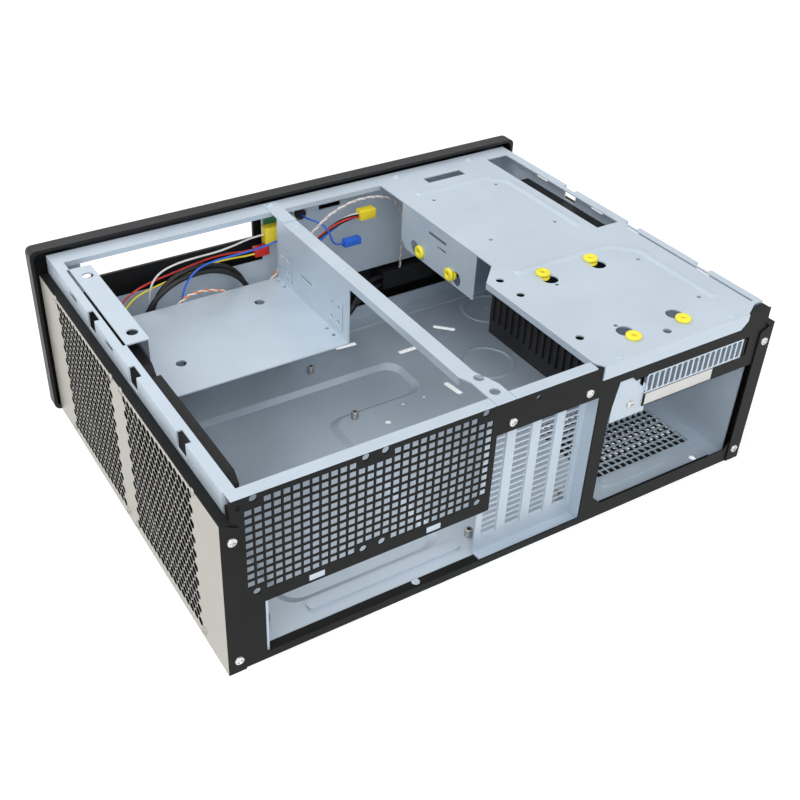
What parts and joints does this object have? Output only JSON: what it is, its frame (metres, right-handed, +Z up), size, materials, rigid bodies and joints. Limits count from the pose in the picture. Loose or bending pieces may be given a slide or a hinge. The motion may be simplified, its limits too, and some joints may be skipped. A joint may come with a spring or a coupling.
{
  "type": "htpc case",
  "caption": "Low desktop computer case with its cover off: folded steel chassis, mesh rear, drive cage, optical bay, side fans and moulded bezel.",
  "frame": {"origin": "on the floor under the middle of the case", "axes": "+X to the right seen from the front, +Y to the rear, +Z up"},
  "size_m": [0.438, 0.325, 0.153],
  "materials": {
    "zinc_steel": "zinc-coated sheet, satin",
    "black_paint": "black powder coat",
    "side_paint": "warm grey coat, satin",
    "bezel_plastic": "black moulded",
    "button_plastic": "black moulded, polished",
    "fan_plastic": "black moulded",
    "board_green": "solder mask",
    "foot_rubber": "black rubber",
    "yellow_rubber": "yellow silicone rubber",
    "nickel": "nickel-plated, turned",
    "black_wire": "black cable jacket",
    "red_wire": "red insulation",
    "yellow_wire": "yellow insulation",
    "white_wire": "white insulation",
    "orange_wire": "orange and white pair",
    "blue_wire": "blue insulation",
    "plug_plastic": "black moulded plug"
  },
  "bodies": {
    "chassis": {"bottom_pan": "zinc_steel", "right_wall": "zinc_steel", "left_wall": "zinc_steel", "front_wall": "zinc_steel", "rear_rail": "zinc_steel", "slot_frame": "zinc_steel", "slot_cover_1": "zinc_steel", "slot_cover_2": "zinc_steel", "slot_cover_3": "zinc_steel", "slot_cover_4": "zinc_steel", "io_frame": "zinc_steel", "drive_cage": "zinc_steel", "optical_cradle": "zinc_steel", "brace_bar": "zinc_steel", "psu_bracket": "zinc_steel", "rear_panel": "black_paint", "right_panel": "side_paint", "left_panel": "side_paint", "front_bezel": "bezel_plastic", "card_baffle": "bezel_plastic", "power_switch": "bezel_plastic", "front_ports": "bezel_plastic", "front_board": "board_green", "feet": "foot_rubber", "standoffs": "nickel", "cage_grommets": "yellow_rubber", "fan_frame_1": "fan_plastic", "fan_frame_2": "fan_plastic", "fan_frame_3": "fan_plastic", "lead_black_1": "black_wire", "lead_black_2": "black_wire", "lead_red": "red_wire", "lead_yellow": "yellow_wire", "lead_white": "white_wire", "lead_twist": "orange_wire", "lead_blue": "blue_wire", "lead_sleeve": "black_wire", "lead_switch": "blue_wire", "lead_arch": "orange_wire", "plug_black_1": "plug_plastic", "plug_black_2": "plug_plastic", "plug_white": "plug_plastic", "plug_twist": "plug_plastic", "plug_blue": "plug_plastic", "plug_sleeve": "plug_plastic", "plug_arch": "plug_plastic", "red_plug": "red_wire", "board_plug": "yellow_wire", "sleeve_plug": "yellow_wire", "switch_plug": "blue_wire"},
    "fan_rotor_1_body": {"fan_rotor_1": "fan_plastic"},
    "fan_rotor_2_body": {"fan_rotor_2": "fan_plastic"},
    "fan_rotor_3_body": {"fan_rotor_3": "fan_plastic"},
    "power_button_body": {"power_button": "button_plastic"},
    "reset_button_body": {"reset_button": "button_plastic"}
  },
  "joints": [
    {"name": "fan_1_spin", "type": "hinge", "parent": "chassis", "child": "fan_rotor_1_body", "pos_m": [0.1945, -0.053, 0.0745], "axis": [1, 0, 0], "continuous": true},
    {"name": "fan_2_spin", "type": "hinge", "parent": "chassis", "child": "fan_rotor_2_body", "pos_m": [0.1945, 0.0695, 0.0745], "axis": [1, 0, 0], "continuous": true},
    {"name": "fan_3_spin", "type": "hinge", "parent": "chassis", "child": "fan_rotor_3_body", "pos_m": [-0.1945, -0.053, 0.0745], "axis": [1, 0, 0], "continuous": true},
    {"name": "power_press", "type": "slide", "parent": "chassis", "child": "power_button_body", "axis": [0, 1, 0], "range_m": [0, 0.0015], "stiffness_N_per_m": 600},
    {"name": "reset_press", "type": "slide", "parent": "chassis", "child": "reset_button_body", "axis": [0, 1, 0], "range_m": [0, 0.0015], "stiffness_N_per_m": 400}
  ]
}
